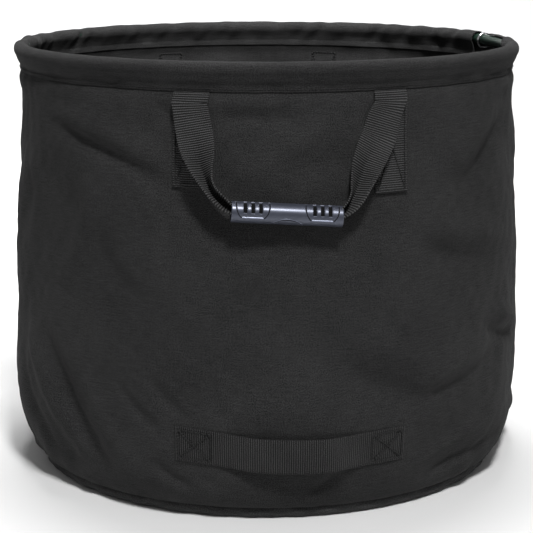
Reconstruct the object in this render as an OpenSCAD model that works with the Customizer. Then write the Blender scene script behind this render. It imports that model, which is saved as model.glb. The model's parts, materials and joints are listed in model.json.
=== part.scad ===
// Round canvas garden tool bag: soft wall on a hooped rim, two webbing carry
// handles with moulded grips, and a low webbing strap for tipping it out.
// Millimetres. Origin: centre of the underside, +Z up, front handle towards -Y.

/* [Bag] */
// Height from the floor to the top of the rim
bag_h = 498; // [420:1:620]
// Radius of the hoop's centre line
rim_r = 289; // [230:1:350]
// How far the wall stands outside the hoop's centre line at the hem seam
hem_flare = 2; // [0:0.5:6]
// How far the wall's belly stands outside the hem seam
belly_out = 13; // [4:0.5:20]
// How far the base seam is tucked in under the belly
corner_in = 29; // [20:1:40]
// Height of the rounded lower corner of the wall
corner_h = 111; // [80:1:140]
// Thickness of the wall's canvas
wall_t = 1.5; // [1:0.1:2.5]
// Thickness of the base's coated canvas
base_t = 1.6; // [1:0.1:3]
// Height and radius of the base panel's turned-up edge
base_lip = 12; // [8:1:20]

/* [Rim] */
// Outer radius of the hem's casing
casing_r = 8.5; // [8:0.1:12]
// Thickness of the casing's canvas
casing_t = 1.3; // [0.8:0.1:1.6]
// Height of the hem, from its seam to the top of the rim
hem_h = 30.5; // [26:0.5:45]
// Outer radius of the hoop's tube
hoop_r = 6; // [4:0.25:6.5]
// Wall of the hoop's tube
hoop_wall = 1.2; // [0.8:0.1:2]
// Where the front end of the casing stops, in degrees from +X
mouth_front = -1; // [-4:0.5:2]
// Where the casing's outer layer stops short of the ring
mouth_ring = 11.8; // [9:0.1:12.5]
// Where the back casing starts
mouth_back = 17; // [16.5:0.5:24]

/* [Hang ring] */
// Where the ring hangs, in degrees from +X
ring_at = 14.4; // [14:0.1:14.8]
// Outer radius of the split ring
ring_r = 9.9; // [9.5:0.1:11]
// Radius of the ring's wire
ring_wire = 0.95; // [0.7:0.05:1.1]
// Gap between the ring's top and the hoop
ring_gap = 0.5; // [0.3:0.1:0.8]

/* [Webbing] */
// Width of the webbing
web_w = 38; // [30:1:45]
// Thickness of the webbing
web_t = 1.6; // [1.2:0.1:2.4]
// Distance from the middle of the bag to the middle of each handle leg
leg_x = 104; // [90:1:130]
// Length of the webbing sewn to the wall below the hem seam
patch_h = 104; // [80:1:130]
// Height of the grip's middle below the hem seam
grip_drop = 124; // [110:1:140]
// How far each grip hangs to one side of its handle's middle
grip_side = 8; // [0:1:14]
// How far the grip hangs out of level, in degrees
grip_tilt = 3.6; // [0:0.1:6]
// Height of the webbing where it is folded to pass the grip
fold_h = 17; // [14:0.5:17]
// Thickness of the folded webbing
fold_t = 3.6; // [3.2:0.1:4.6]

/* [Grips] */
// Length of a grip
grip_l = 116; // [96:1:130]
// Outer radius of a grip
grip_r = 11; // [10.8:0.1:13]
// Wall of a grip
grip_wall = 1.5; // [1:0.1:1.6]
// Distance from the grip's middle to each group of slots
slots_x = 35.8; // [30:0.1:40]
// Spacing of the slots
slot_pitch = 8; // [6:0.5:9]
// Width of a slot
slot_w = 3.4; // [2:0.1:4]
// Radius of the engraved circle around each group
ring_line_r = 17.2; // [16:0.1:18]

/* [Lower strap] */
// Length of the low strap along the wall
low_l = 254; // [200:1:290]
// Height of the low strap's lower edge
low_z = 66; // [50:1:90]
// Length sewn down at each end
low_sewn = 42; // [34:1:50]
// Finger gap behind the low strap's middle
low_gap = 9; // [6:0.5:16]

/* [Stitching] */
// Distance of a stitch line from the webbing's edge
stitch_in = 3; // [2:0.5:5]
// Width of a stitch line
stitch_w = 0.9; // [0.6:0.1:1.4]
// Height of the thread above the cloth
stitch_h = 0.4; // [0.3:0.1:0.6]

/* [Hidden] */
$fn = 96;

// Clearances
cloth_gap = 0.4;
seat_gap = 0.1;
grip_gap = 0.6;
plug_gap = 0.1;

// Heights
hoop_z = bag_h - casing_r;
seam_z = bag_h - hem_h;
corner_top = base_lip + corner_h;
wall_top = seam_z + 6;
flap_low = seam_z - 1;

// Radii
hem_r = rim_r + hem_flare;
belly_r = hem_r + belly_out;
base_r = belly_r - corner_in;

// Outside of the wall at a height
function wall_r(z) = z >= corner_top
    ? belly_r + (hem_r - belly_r) * (z - corner_top) / (seam_z - corner_top)
    : base_r + corner_in * sqrt(1 - pow((corner_top - z) / corner_h, 2));

// Handle frame: the fold under the hem seam is the hinge, clear of the wall at each leg's inner edge
leg_turn = asin(leg_x / hem_r);
hinge_y = sqrt(pow(hem_r, 2) - pow(leg_x - web_w / 2, 2)) + 1.5 * web_t + cloth_gap;
hinge_z = flap_low - web_t;
grip_z = seam_z - grip_drop;
grip_reach = wall_r(grip_z - grip_r) + grip_gap + grip_r;
low_mid = low_z + web_w / 2;

canvas = [0.16, 0.16, 0.165];
hem_canvas = [0.13, 0.13, 0.135];
webbing = [0.24, 0.24, 0.245];
thread = [0.34, 0.34, 0.35];
grip_blue = [0.48, 0.51, 0.6];

// ---- wall and base ----

corner_steps = 18;
function corner_arc(t) = [for (i = [0:corner_steps])
    let (a = -90 + 90 * i / corner_steps)
    [base_r + (corner_in - t) * cos(a), corner_top + (corner_h - t) * sin(a)]];
function flip(list) = [for (i = [len(list) - 1:-1:0]) list[i]];

module wall_section() {
    polygon(concat(
        corner_arc(0),
        [[wall_r(wall_top), wall_top], [wall_r(wall_top) - wall_t, wall_top]],
        flip(corner_arc(wall_t))));
}

module wall_front_panel() {
    color(canvas)
        rotate_extrude(start = 180, angle = 180, $fn = 180)
            wall_section();
}

module wall_back_panel() {
    color(canvas)
        rotate_extrude(start = 0, angle = 180, $fn = 180)
            wall_section();
}

// Bound seams where the two wall panels meet, on the inside
tape_t = 1;
tape_arc = 5;
tape_z = [corner_top + 4, flap_low - 4];

module side_seam_tapes() {
    color(hem_canvas)
        for (side = [0, 180])
            rotate_extrude(start = side - tape_arc / 2, angle = tape_arc)
                polygon([
                    [wall_r(tape_z[0]) - wall_t - tape_t, tape_z[0]],
                    [wall_r(tape_z[0]) - wall_t, tape_z[0]],
                    [wall_r(tape_z[1]) - wall_t, tape_z[1]],
                    [wall_r(tape_z[1]) - wall_t - tape_t, tape_z[1]]]);
}

lip_steps = 8;
function lip_arc(r) = [for (i = [0:lip_steps])
    let (a = -90 + 90 * i / lip_steps)
    [base_r - base_lip + r * cos(a), base_lip + r * sin(a)]];

// The flat part and the turned-up edge are one cloth, drawn as two solids a hair apart, so that
// the hulls of each stay out of the bag
flat_gap = 0.02;

module base_panel() {
    color(canvas) {
        cylinder(r = base_r - base_lip - flat_gap, h = base_t, $fn = 180);
        rotate_extrude($fn = 180)
            polygon(concat(
                lip_arc(base_lip),
                [[base_r, base_lip + wall_t], [base_r - base_t, base_lip + wall_t]],
                flip(lip_arc(base_lip - base_t))));
    }
}

// Tape folded over the raw edges of the base seam, on the inside
binding_t = 3;
binding_h = 11;

module base_seam_binding() {
    color(hem_canvas)
        translate([0, 0, base_lip + wall_t])
            rotate_extrude($fn = 180)
                translate([base_r - seat_gap - binding_t, 0])
                    square([binding_t, binding_h]);
}

// ---- rim ----

casing_low_angle = -35;
casing_steps = 32;

module casing_section() {
    over = 180 - 2 * casing_low_angle;
    difference() {
        polygon(concat(
            [[wall_r(flap_low), flap_low],
             [wall_r(flap_low) + casing_t, flap_low],
             [wall_r(wall_top) + casing_t, wall_top]],
            [for (i = [0:casing_steps])
                let (a = casing_low_angle + over * i / casing_steps)
                [rim_r + casing_r * cos(a), hoop_z + casing_r * sin(a)]],
            [[wall_r(wall_top) - wall_t - casing_t, wall_top],
             [wall_r(flap_low) - wall_t - casing_t, flap_low],
             [wall_r(flap_low) - wall_t, flap_low],
             [wall_r(wall_top) - wall_t, wall_top],
             [wall_r(wall_top), wall_top]]));
        translate([rim_r, hoop_z])
            circle(r = casing_r - casing_t);
    }
}

// The stitched neck of the hem, below the casing's mouth
neck_top = hoop_z - casing_r - casing_t - 3;

module neck_section() {
    intersection() {
        casing_section();
        translate([rim_r - 2 * casing_r, 0])
            square([4 * casing_r, neck_top]);
    }
}

// Where the inner layer is cut away only the outer layer stands beside the hoop
module outer_layer_section() {
    intersection() {
        casing_section();
        union() {
            translate([rim_r - 2 * casing_r, 0])
                square([4 * casing_r, neck_top]);
            translate([rim_r + hem_flare, 0])
                square([2 * casing_r, 2 * bag_h]);
        }
    }
}

module rim_casing_front() {
    color(hem_canvas)
        rotate_extrude(start = 180, angle = 180 + mouth_front, $fn = 180)
            casing_section();
}

module rim_casing_back() {
    color(hem_canvas) {
        rotate_extrude(start = mouth_back, angle = 180 - mouth_back, $fn = 180)
            casing_section();
        rotate_extrude(start = mouth_ring, angle = mouth_back - mouth_ring)
            neck_section();
        rotate_extrude(start = mouth_front, angle = mouth_ring - mouth_front)
            outer_layer_section();
    }
}

// The hoop is one tube bent round, its ends pushed on a plug inside the back hem
hoop_joint = 42;
hoop_slit = 0.1;
plug_half = 6;

module rim_hoop_tube() {
    color([0.05, 0.16, 0.1])
        rotate_extrude(start = hoop_joint + hoop_slit / 2, angle = 360 - hoop_slit, $fn = 180)
            translate([rim_r, hoop_z])
                difference() {
                    circle(r = hoop_r, $fn = 48);
                    circle(r = hoop_r - hoop_wall, $fn = 48);
                }
}

module hoop_joint_plug() {
    color([0.3, 0.3, 0.3])
        rotate_extrude(start = hoop_joint - plug_half, angle = 2 * plug_half, $fn = 180)
            translate([rim_r, hoop_z])
                circle(r = hoop_r - hoop_wall - plug_gap, $fn = 48);
}

// A split ring is two turns of wire side by side
ring_side = ring_wire * 0.95;
ring_z = hoop_z + hoop_r + ring_gap + 2 * ring_wire - ring_r;

module hang_ring() {
    color("silver")
        rotate([0, 0, ring_at])
            translate([rim_r, 0, ring_z])
                rotate([90, 0, 0])
                    rotate_extrude($fn = 64)
                        for (turn = [-1, 1])
                            translate([ring_r - ring_wire, turn * ring_side])
                                circle(r = ring_wire, $fn = 24);
}

// ---- webbing sewn to the wall ----

patch_top = flap_low - cloth_gap;
patch_low = seam_z - patch_h;
patch_turn = web_w / hem_r * 180 / PI;

// A band on the straight part of the wall: from outside offset `off`, thickness t
module wall_plate(mid, arc, z0, z1, off, t) {
    rotate_extrude(start = mid - arc / 2, angle = arc)
        polygon([
            [wall_r(z0) + off, z0],
            [wall_r(z0) + off + t, z0],
            [wall_r(z1) + off + t, z1],
            [wall_r(z1) + off, z1]]);
}

// Seen from its own side, each handle's right leg has side = 1
function leg_at(front, side) = (front ? -90 : 90) + side * leg_turn;

module patch(front, side) {
    color(webbing)
        wall_plate(leg_at(front, side), patch_turn, patch_low, patch_top, 0, web_t);
}

module front_patch_left() {
    patch(true, -1);
}

module front_patch_right() {
    patch(true, 1);
}

module back_patch_left() {
    patch(false, -1);
}

module back_patch_right() {
    patch(false, 1);
}

// Box of stitching with both diagonals, as short threads that sit just clear of the webbing
thread_len = 3;
stitch_pitch = 5.2;
thread_seat = 0.04;

module stitch_box(mid, half_arc, z0, z1) {
    seat = web_t + thread_seat;
    line_arc = stitch_w / (wall_r((z0 + z1) / 2) + seat) * 180 / PI;
    for (edge = [-1, 1])
        wall_plate(mid + edge * half_arc, line_arc, z0, z1, seat, stitch_h);
    for (z = [z0, z1 - stitch_w])
        wall_plate(mid, 2 * half_arc - line_arc, z, z + stitch_w, seat, stitch_h);
    count = floor((z1 - z0 - 2 * stitch_w) / stitch_pitch);
    for (i = [1:count - 1])
        for (lean = [-1, 1])
            wall_plate(mid + lean * half_arc * (2 * i / count - 1), line_arc,
                z0 + (z1 - z0) * i / count - thread_len / 2,
                z0 + (z1 - z0) * i / count + thread_len / 2, seat, stitch_h);
}

module patch_stitching(front) {
    half = patch_turn / 2 - stitch_in / hem_r * 180 / PI;
    color(thread)
        for (side = [-1, 1])
            stitch_box(leg_at(front, side), half, patch_low + stitch_in, patch_top - 2 * stitch_in);
}

module front_patch_stitching() {
    patch_stitching(true);
}

module back_patch_stitching() {
    patch_stitching(false);
}

hem_stitch_z = flap_low + 1.5;

module hem_stitching() {
    color(thread)
        rotate_extrude($fn = 180)
            polygon([
                [wall_r(hem_stitch_z) + casing_t, hem_stitch_z],
                [wall_r(hem_stitch_z) + casing_t + stitch_h, hem_stitch_z],
                [wall_r(hem_stitch_z + stitch_w) + casing_t + stitch_h, hem_stitch_z + stitch_w],
                [wall_r(hem_stitch_z + stitch_w) + casing_t, hem_stitch_z + stitch_w]]);
}

module base_seam_stitching() {
    color(thread)
        translate([0, 0, base_lip + wall_t + binding_h / 2])
            rotate_extrude($fn = 180)
                translate([base_r - seat_gap - binding_t - stitch_h, 0])
                    square([stitch_h, stitch_w]);
}

// ---- low strap ----

low_steps = 40;
low_rows = 4;
low_half = low_l / 2 / wall_r(low_mid) * 180 / PI;
low_free = (low_l / 2 - low_sewn) / wall_r(low_mid) * 180 / PI;
low_rise = 7;

// Stand-off of the strap's back from the wall, at an angle from its middle
function low_off(a) = abs(a) >= low_free ? seat_gap
    : seat_gap + low_gap * (1 - cos(180 * min(1, (low_free - abs(a)) / low_rise))) / 2;

// The free middle stands upright instead of following the wall's lean
function low_back_r(a, z) =
    let (free = (low_off(a) - seat_gap) / low_gap)
    (1 - free) * wall_r(z) + free * wall_r(low_z + web_w) + low_off(a);

module lower_strap() {
    cols = low_rows + 1;
    layer = (low_steps + 1) * cols;
    spot = [for (off = [0, web_t]) for (i = [0:low_steps]) for (j = [0:low_rows])
        let (a = low_half * (2 * i / low_steps - 1), z = low_z + web_w * j / low_rows,
             r = low_back_r(a, z) + off)
        [r * sin(a), -r * cos(a), z]];
    back = [for (i = [0:low_steps - 1]) for (j = [0:low_rows - 1])
        let (k = i * cols + j)
        [k, k + 1, k + cols + 1, k + cols]];
    front = [for (f = back) [f[3] + layer, f[2] + layer, f[1] + layer, f[0] + layer]];
    foot = [for (i = [0:low_steps - 1])
        let (k = i * cols)
        [k, k + cols, k + cols + layer, k + layer]];
    head = [for (i = [0:low_steps - 1])
        let (k = i * cols + low_rows)
        [k + layer, k + cols + layer, k + cols, k]];
    ends = [for (j = [0:low_rows - 1])
        for (k = [j, low_steps * cols + j])
            k < cols ? [k, k + layer, k + 1 + layer, k + 1]
                : [k, k + 1, k + 1 + layer, k + layer]];
    color(webbing)
        polyhedron(spot, concat(back, front, foot, head, ends));
}

// The low strap's end boxes, thread by thread on the rounded wall
module low_thread(a, z, arc, h) {
    r0 = wall_r(z + h / 2) + seat_gap + web_t + thread_seat;
    rotate([0, 0, -90])
        rotate_extrude(start = a - arc / 2, angle = arc)
            polygon([[wall_r(z) + r0 - wall_r(z + h / 2), z],
                [wall_r(z) + r0 - wall_r(z + h / 2) + stitch_h, z],
                [wall_r(z + h) + r0 - wall_r(z + h / 2) + stitch_h, z + h],
                [wall_r(z + h) + r0 - wall_r(z + h / 2), z + h]]);
}

module lower_strap_stitching() {
    deg = 180 / PI / wall_r(low_mid);
    a_out = low_half - stitch_in * deg;
    a_in = low_free + stitch_in * deg;
    z_lo = low_z + stitch_in;
    z_hi = low_z + web_w - stitch_in;
    across = floor((low_sewn - 2 * stitch_in) / stitch_pitch);
    color(thread)
        for (side = [-1, 1]) {
            for (i = [0:across])
                let (a = a_in + (a_out - a_in) * i / across, z = z_lo + (z_hi - z_lo) * i / across) {
                    low_thread(side * a, z_lo - stitch_w, thread_len * deg, stitch_w);
                    low_thread(side * a, z_hi, thread_len * deg, stitch_w);
                    if (i > 0 && i < across) {
                        low_thread(side * a, z - 1, 2 * deg, 2);
                        low_thread(side * a, z_lo + z_hi - z - 1, 2 * deg, 2);
                    }
                }
            for (i = [1:across - 1])
                let (z = z_lo + (z_hi - z_lo) * i / across - thread_len / 2) {
                    low_thread(side * (a_out + stitch_w * deg), z, stitch_w * deg, thread_len);
                    low_thread(side * (a_in - stitch_w * deg), z, stitch_w * deg, thread_len);
                }
        }
}

// ---- carry handles ----
// Built about the fold line in a frame with x along it, y away from the bag, z up

grip_mid = [-grip_side, grip_reach - hinge_y, grip_z - hinge_z];
grip_dir = [cos(grip_tilt), 0, -sin(grip_tilt)];
strap_steps = 16;
strap_ring = [[1, 0.85], [1, -0.85], [0, -1], [-1, -0.85], [-1, 0.85], [0, 1]];

function unit(v) = v / norm(v);
function mix(a, b, t) = a * (1 - t) + b * t;
function smooth(t) = t * t * (3 - 2 * t);
function curve(p, t) = pow(1 - t, 3) * p[0] + 3 * t * pow(1 - t, 2) * p[1]
    + 3 * t * t * (1 - t) * p[2] + t * t * t * p[3];
function slope(p, t) = 3 * pow(1 - t, 2) * (p[1] - p[0]) + 6 * t * (1 - t) * (p[2] - p[1])
    + 3 * t * t * (p[3] - p[2]);

// One leg's centre line: down from the fold, then round into the grip's end
function leg_route(side) =
    let (end = grip_mid + side * grip_dir * (grip_l / 2 + 2),
         top = [side * leg_x, 0, 0],
         fall = [side * leg_x, end[1] * 0.5, end[2] * 0.62])
    [top, fall, end + side * grip_dir * 24, end];

// Rings of the strap: centre, across, outward, half width, half thickness
function leg_rings(side) = [for (i = [0:strap_steps])
    let (t = i / strap_steps,
         p = leg_route(side),
         along = unit(slope(p, t)),
         out = unit([0, 1, 0] - along * along[1]),
         fold = smooth(max(0, (t - 0.3) / 0.7)))
    [curve(p, t), cross(along, out), out,
     mix(web_w / 2, fold_h / 2, fold), mix(web_t / 2, fold_t / 2, fold)]];

function ring_points(r) = [for (s = strap_ring) r[0] + r[1] * s[0] * r[3] + r[2] * s[1] * r[4]];

module sweep(rings) {
    m = len(strap_ring);
    n = len(rings);
    points = [for (r = rings) each ring_points(r)];
    sides = [for (i = [0:n - 2]) for (j = [0:m - 1])
        [i * m + j, i * m + (j + 1) % m, (i + 1) * m + (j + 1) % m, (i + 1) * m + j]];
    polyhedron(points, concat(sides, [[for (j = [m - 1:-1:0]) j]],
        [[for (j = [0:m - 1]) (n - 1) * m + j]]));
}

// The strap is one length: down one leg, through the grip and up the other
module strap() {
    right = leg_rings(1);
    left = [for (r = flip(leg_rings(-1))) [r[0], -r[1], r[2], r[3], r[4]]];
    sweep(concat(right, left));
}

module at_handle(front) {
    rotate([0, 0, front ? 180 : 0])
        translate([0, hinge_y, hinge_z])
            mirror([front ? 1 : 0, 0, 0])
                children();
}

module front_strap() {
    color(webbing)
        at_handle(true)
            strap();
}

module back_strap() {
    color(webbing)
        at_handle(false)
            strap();
}

// Grip frame: x along the grip, y away from the bag, z up
module at_grip(front) {
    at_handle(front)
        translate(grip_mid)
            rotate([0, grip_tilt, 0])
                children();
}

module grip_tube() {
    rotate([0, 90, 0])
        difference() {
            cylinder(r = grip_r, h = grip_l, center = true, $fn = 64);
            cylinder(r = grip_r - grip_wall, h = grip_l + 2, center = true, $fn = 64);
        }
}

module half_space(side) {
    translate([-grip_l, side > 0 ? 0 : -2 * grip_r, -2 * grip_r])
        cube([2 * grip_l, 2 * grip_r, 4 * grip_r]);
}

slot_low = 1.5;
ring_line_z = 8.5;
line_depth = 0.45;
line_w = 0.6;
bar_l = 22;
bar_angle = 20;
bar_rise = 0.5;
thumb_r = 26;
thumb_z = -30;

// A circle drawn on the grip's face: depth below the surface, or height above it
module face_line(x, z, r, from, to) {
    intersection() {
        rotate([0, 90, 0])
            difference() {
                cylinder(r = to, h = grip_l, center = true, $fn = 64);
                cylinder(r = from, h = grip_l + 2, center = true, $fn = 64);
            }
        translate([x, 2 * grip_r, z])
            rotate([90, 0, 0])
                difference() {
                    cylinder(r = r + line_w / 2, h = 2 * grip_r, $fn = 64);
                    translate([0, 0, -1])
                        cylinder(r = r - line_w / 2, h = 2 * grip_r + 2, $fn = 64);
                }
    }
}

module grip_outer(front) {
    color(grip_blue)
        at_grip(front) {
            difference() {
                intersection() {
                    grip_tube();
                    half_space(1);
                }
                for (group = [-1, 1]) {
                    for (i = [-1:1])
                        translate([group * slots_x + i * slot_pitch - slot_w / 2, 0, slot_low])
                            cube([slot_w, 2 * grip_r, 2 * grip_r]);
                    intersection() {
                        face_line(group * slots_x, ring_line_z, ring_line_r,
                            grip_r - line_depth, grip_r + 1);
                        translate([-grip_l, 0, -grip_r * sin(bar_angle)])
                            cube([2 * grip_l, 2 * grip_r, 2 * grip_r]);
                    }
                }
            }
            for (group = [-1, 1])
                rotate([-bar_angle, 0, 0])
                    translate([group * slots_x - bar_l / 2, grip_r - grip_wall / 2, -line_w])
                        cube([bar_l, grip_wall / 2 + bar_rise, 2 * line_w]);
            intersection() {
                face_line(0, thumb_z, thumb_r, grip_r - line_depth, grip_r + bar_rise / 2);
                half_space(1);
            }
        }
}

module grip_inner(front) {
    color(grip_blue)
        at_grip(front)
            intersection() {
                grip_tube();
                half_space(-1);
            }
}

module front_grip_outer_shell() {
    grip_outer(true);
}

module front_grip_inner_shell() {
    grip_inner(true);
}

module back_grip_outer_shell() {
    grip_outer(false);
}

module back_grip_inner_shell() {
    grip_inner(false);
}

wall_front_panel();
wall_back_panel();
side_seam_tapes();
base_panel();
base_seam_binding();
rim_casing_front();
rim_casing_back();
rim_hoop_tube();
hoop_joint_plug();
hang_ring();
front_patch_left();
front_patch_right();
front_strap();
front_grip_outer_shell();
front_grip_inner_shell();
back_patch_left();
back_patch_right();
back_strap();
back_grip_outer_shell();
back_grip_inner_shell();
lower_strap();
front_patch_stitching();
back_patch_stitching();
lower_strap_stitching();
hem_stitching();
base_seam_stitching();
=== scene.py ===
"""Round canvas garden tool bag: soft wall, hooped rim, webbing handles with moulded grips."""

import json
import math

import bpy
import numpy as np
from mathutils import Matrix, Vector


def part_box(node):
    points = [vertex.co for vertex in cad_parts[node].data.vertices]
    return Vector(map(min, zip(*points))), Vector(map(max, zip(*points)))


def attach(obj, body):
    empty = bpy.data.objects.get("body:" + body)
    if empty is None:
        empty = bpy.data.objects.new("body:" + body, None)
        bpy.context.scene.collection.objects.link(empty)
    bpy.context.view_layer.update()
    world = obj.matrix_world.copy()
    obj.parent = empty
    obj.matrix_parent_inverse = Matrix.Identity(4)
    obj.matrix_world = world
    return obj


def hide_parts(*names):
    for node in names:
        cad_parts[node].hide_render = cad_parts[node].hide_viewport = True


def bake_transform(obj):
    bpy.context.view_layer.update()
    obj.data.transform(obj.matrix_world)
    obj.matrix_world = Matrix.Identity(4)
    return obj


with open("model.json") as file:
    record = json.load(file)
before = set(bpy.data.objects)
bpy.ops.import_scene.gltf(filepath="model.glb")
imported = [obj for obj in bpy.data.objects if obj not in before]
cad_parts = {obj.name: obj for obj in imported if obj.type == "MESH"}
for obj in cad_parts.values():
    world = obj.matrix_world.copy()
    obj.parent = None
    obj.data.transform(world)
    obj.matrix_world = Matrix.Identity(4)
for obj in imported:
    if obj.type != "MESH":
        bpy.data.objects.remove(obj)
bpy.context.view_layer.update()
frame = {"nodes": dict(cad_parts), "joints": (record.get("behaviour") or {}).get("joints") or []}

bl_info = {
    "name": "Canvas garden bag",
    "version": (1, 0, 0),
    "blender": (4, 5, 0),
    "location": "View3D > Sidebar > Garden bag",
    "description": "Builds a round canvas garden bag with webbing handles around its frame",
    "category": "Add Mesh",
}

# ---------------------------------------------------------------------------
# Places and sizes taken from the frame, in metres
# ---------------------------------------------------------------------------

MM = 0.001
JOINTS = {joint["name"]: joint for joint in frame["joints"]}
HOOP_LOW, HOOP_HIGH = (np.array(corner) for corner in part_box("rim_hoop_tube"))
WALL_LOW, WALL_HIGH = (np.array(corner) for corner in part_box("wall_front_panel"))
HEM_LOW, HEM_HIGH = (np.array(corner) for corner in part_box("rim_casing_front"))
PATCH_LOW, PATCH_HIGH = (np.array(corner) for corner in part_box("front_patch_right"))
LOW_LOW, LOW_HIGH = (np.array(corner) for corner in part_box("lower_strap"))
GRIP_PIVOT = np.array(JOINTS["front_grip_turn"]["pos_m"])
GRIP_AXIS = np.array(JOINTS["front_grip_turn"]["axis"])
RING_PIVOT = np.array(JOINTS["hang_ring_swing"]["pos_m"])
RING_AXIS = np.array(JOINTS["hang_ring_swing"]["axis"])

HOOP_R = (HOOP_HIGH[2] - HOOP_LOW[2]) / 2
HOOP_Z = (HOOP_HIGH[2] + HOOP_LOW[2]) / 2
RIM_R = HOOP_HIGH[0] - HOOP_R
CASING_R = HEM_HIGH[2] - HOOP_Z
BELLY_R = WALL_HIGH[0]
BASE_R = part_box("base_panel")[1][0]
SEAM_Z = HEM_LOW[2]
LIP_H = WALL_LOW[2]
CORNER_H = 111 * MM
CORNER_Z = LIP_H + CORNER_H
HEM_R = RIM_R + 2 * MM
CLOTH_T = 1.5 * MM
CASING_T = 1.3 * MM
WEB_T = 1.6 * MM
WEB_W = 38 * MM
LEG_X = 104 * MM
LEG_TURN = math.asin(LEG_X / HEM_R)
GRIP_R = 11 * MM
TAU = 2 * math.pi

# Radius at which an angle round the bag is turned into a length along its cloth
CLOTH_R = 0.3

# Angles are measured round the bag from the middle of the front, towards +X, in radians
MOUTH_FRONT = math.radians(89)
MOUTH_RING = math.radians(101.8)
MOUTH_BACK = math.radians(107)
FRONT_EDGE = math.radians(90)


def wall_radius(z):
    """Outside radius of the wall: a quarter ellipse up the rounded corner, then a straight lean
    inwards up to the hem seam."""
    z = np.asarray(z, float)
    lean = BELLY_R + (HEM_R - BELLY_R) * (z - CORNER_Z) / (HEM_LOW[2] + MM - CORNER_Z)
    bend = np.sqrt(np.clip(1 - ((CORNER_Z - z) / CORNER_H) ** 2, 0, 1))
    return np.where(z >= CORNER_Z, lean, BASE_R + (BELLY_R - BASE_R) * bend)


def ease(t):
    """Smooth step from 0 to 1: 3t^2 - 2t^3 between 0 and 1."""
    t = np.clip(t, 0, 1)
    return t * t * (3 - 2 * t)


def around(angle, radius, z):
    """Point at an angle round the bag from the middle of the front, towards +X."""
    angle, radius, z = np.broadcast_arrays(angle, radius, z)
    return np.stack([radius * np.sin(angle), -radius * np.cos(angle), z], -1)


def unit(v):
    """Each vector scaled to length 1."""
    return v / np.linalg.norm(v, axis=-1, keepdims=True)


def distance_along(*coordinates):
    """Distance run along a line whose coordinates are given as arrays, from 0 at its first point."""
    steps = np.sqrt(sum(np.diff(column) ** 2 for column in coordinates))
    return np.concatenate([[0], np.cumsum(steps)])


# ---------------------------------------------------------------------------
# Folds of the canvas
# ---------------------------------------------------------------------------

# Soft folds of the wall: three points (degrees round from the front, millimetres up), then
# half width and height in millimetres. A negative height is a valley.
FOLDS = [
    ((-60, 424), (-44, 404), (-22, 360), 10, -3.4),
    ((-61, 434), (-43, 418), (-25, 386), 16, 3.0),
    ((-60, 402), (-47, 380), (-30, 346), 22, 1.6),
    ((-30, 462), (-27, 448), (-22, 438), 6, -2.2),
    ((-46, 372), (-46, 318), (-55, 246), 17, 4.2),
    ((-46, 320), (-39, 268), (-30, 246), 12, -2.2),
    ((-62, 250), (-56, 240), (-47, 236), 9, -1.6),
    ((-69, 190), (-60, 124), (-45, 34), 16, 3.8),
    ((-62, 200), (-53, 118), (-41, 30), 15, -3.8),
    ((-52, 176), (-42, 100), (-34, 34), 15, 2.8),
    ((-38, 146), (-32, 118), (-26, 96), 7, -2.6),
    ((-31, 162), (-26, 136), (-21, 112), 7, -2.4),
    ((-30, 68), (-26, 52), (-21, 36), 7, -3.2),
    ((-22, 56), (-16, 44), (-9, 38), 9, -1.6),
    ((7, 190), (18, 152), (31, 124), 15, -4.4),
    ((12, 214), (24, 178), (36, 150), 17, 3.0),
    ((25, 142), (38, 158), (54, 180), 11, 2.4),
    ((28, 126), (42, 138), (58, 156), 10, -2.7),
    ((30, 24), (42, 44), (60, 52), 8, -3.4),
    ((27, 52), (40, 70), (56, 80), 10, 2.6),
    ((4, 32), (8, 48), (12, 66), 6, -2.4),
    ((40, 352), (52, 388), (66, 414), 12, -3.4),
    ((33, 372), (46, 408), (58, 436), 14, 2.6),
    ((27, 300), (40, 276), (56, 268), 12, -3.2),
    ((30, 322), (42, 306), (60, 296), 15, 3.0),
    ((52, 206), (62, 190), (72, 178), 9, 3.0),
    ((50, 188), (60, 170), (72, 160), 9, -3.6),
    ((-15, 446), (-8, 440), (0, 442), 9, -1.8),
    ((-10, 376), (0, 404), (11, 452), 16, 2.0),
    ((-3, 402), (5, 392), (15, 398), 16, -1.8),
    ((-84, 420), (-80, 340), (-86, 250), 20, 1.2),
    ((-74, 404), (-70, 340), (-76, 270), 14, -1.8),
    ((82, 420), (78, 330), (84, 230), 18, 1.6),
    ((106, 78), (90, 50), (74, 36), 22, 5.0),
    ((-104, 66), (-90, 44), (-76, 30), 20, -4.4),
    ((-74, 150), (-68, 90), (-56, 34), 12, -1.8),
    ((100, 430), (112, 380), (130, 350), 14, -3.6),
    ((104, 400), (118, 352), (136, 322), 18, 3.2),
    ((150, 300), (162, 250), (170, 170), 20, 3.4),
    ((140, 200), (152, 140), (160, 60), 14, -3.8),
    ((-108, 420), (-122, 372), (-140, 356), 14, -3.6),
    ((-104, 236), (-116, 170), (-132, 130), 16, 3.8),
    ((-110, 150), (-124, 108), (-134, 40), 11, -3.8),
    ((-150, 250), (-164, 226), (-178, 240), 18, -3.0),
    ((-158, 120), (-166, 80), (-172, 36), 10, 3.4),
    ((110, 180), (122, 132), (128, 50), 12, 3.6),
    ((176, 120), (182, 80), (184, 30), 10, -3.2),
]
FOLD_SAMPLES = 28
FOLD_DEPTH = 2.0

# Stretch of wall that the low strap holds: its middle height, and its half sizes along the cloth
# and upwards
LOW_STRAP_Z = 85 * MM
LOW_STRAP_HOLD = (135 * MM, 30 * MM)


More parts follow.
